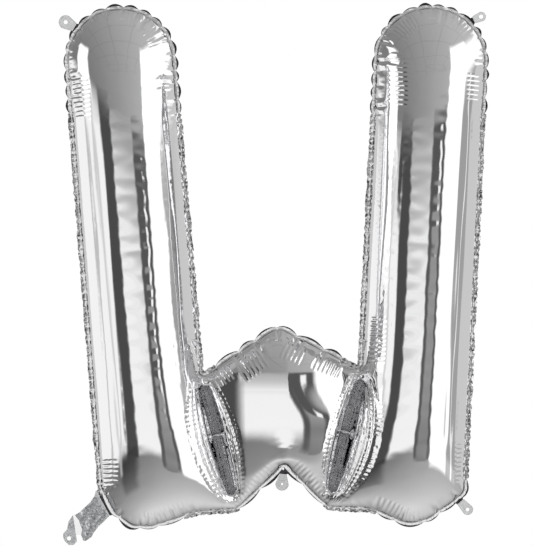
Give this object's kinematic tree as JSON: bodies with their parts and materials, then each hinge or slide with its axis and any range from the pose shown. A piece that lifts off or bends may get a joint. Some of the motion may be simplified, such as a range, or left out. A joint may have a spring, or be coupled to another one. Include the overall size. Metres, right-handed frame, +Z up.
{
  "type": "letter foil balloon",
  "caption": "Inflated letter W foil balloon: two bulged foil sheets, a welded seam border, inner weld strips, a folding fill tail with valve film and folding hanging tabs.",
  "frame": {"origin": "the middle of the letter, in the plane where the two foil sheets meet", "axes": "+Z up along the letter's height, +X to the reader's right, +Y through the thickness, away from the reader, who looks along +Y"},
  "size_m": [0.7113, 0.179, 0.8945],
  "materials": {
    "foil": "plastic film with a mirror-like vacuum-metallised silver face",
    "weld_foil": "heat-welded silver film, creased and pleated",
    "tab_film": "thin translucent grey film, crumpled",
    "tail_film": "crumpled silver film",
    "valve_film": "thin clear film"
  },
  "bodies": {
    "balloon": {"front_sheet": "foil", "back_sheet": "foil", "seam_border": "weld_foil", "weld_strip_left_upper": "weld_foil", "weld_strip_left_lower": "weld_foil", "weld_strip_right_upper": "weld_foil", "weld_strip_right_lower": "weld_foil"},
    "tab_top_left": {"tab_top_left": "tab_film"},
    "tab_top_right": {"tab_top_right": "tab_film"},
    "tab_bottom_right": {"tab_bottom_right": "tab_film"},
    "tab_bottom_middle": {"tab_bottom_middle": "tab_film"},
    "fill_tail": {"tail_neck": "tail_film", "valve_film": "valve_film", "tail_flap": "tail_film"}
  },
  "joints": [
    {"name": "tab_top_left_fold", "type": "hinge", "parent": "balloon", "child": "tab_top_left", "pos_m": [-0.33176, 0, 0.39415], "axis": [-0.5, 0, -0.866], "range_deg": [-90, 90], "stiffness_Nm_per_rad": 0.00004},
    {"name": "tab_top_right_fold", "type": "hinge", "parent": "balloon", "child": "tab_top_right", "pos_m": [0.32747, 0, 0.40612], "axis": [-0.4067, 0, 0.9135], "range_deg": [-90, 90], "stiffness_Nm_per_rad": 0.00004},
    {"name": "tab_bottom_right_fold", "type": "hinge", "parent": "balloon", "child": "tab_bottom_right", "pos_m": [0.3057, 0, -0.38922], "axis": [0.7431, 0, 0.6691], "range_deg": [-90, 90], "stiffness_Nm_per_rad": 0.00004},
    {"name": "tab_bottom_middle_fold", "type": "hinge", "parent": "balloon", "child": "tab_bottom_middle", "pos_m": [0.01296, 0, -0.3438], "axis": [0.9925, 0, -0.1219], "range_deg": [-90, 90], "stiffness_Nm_per_rad": 0.00004},
    {"name": "fill_tail_fold", "type": "hinge", "parent": "balloon", "child": "fill_tail", "pos_m": [-0.28506, 0, -0.39134], "axis": [0.4756, 0, -0.8796], "range_deg": [-90, 90], "stiffness_Nm_per_rad": 0.0004}
  ]
}
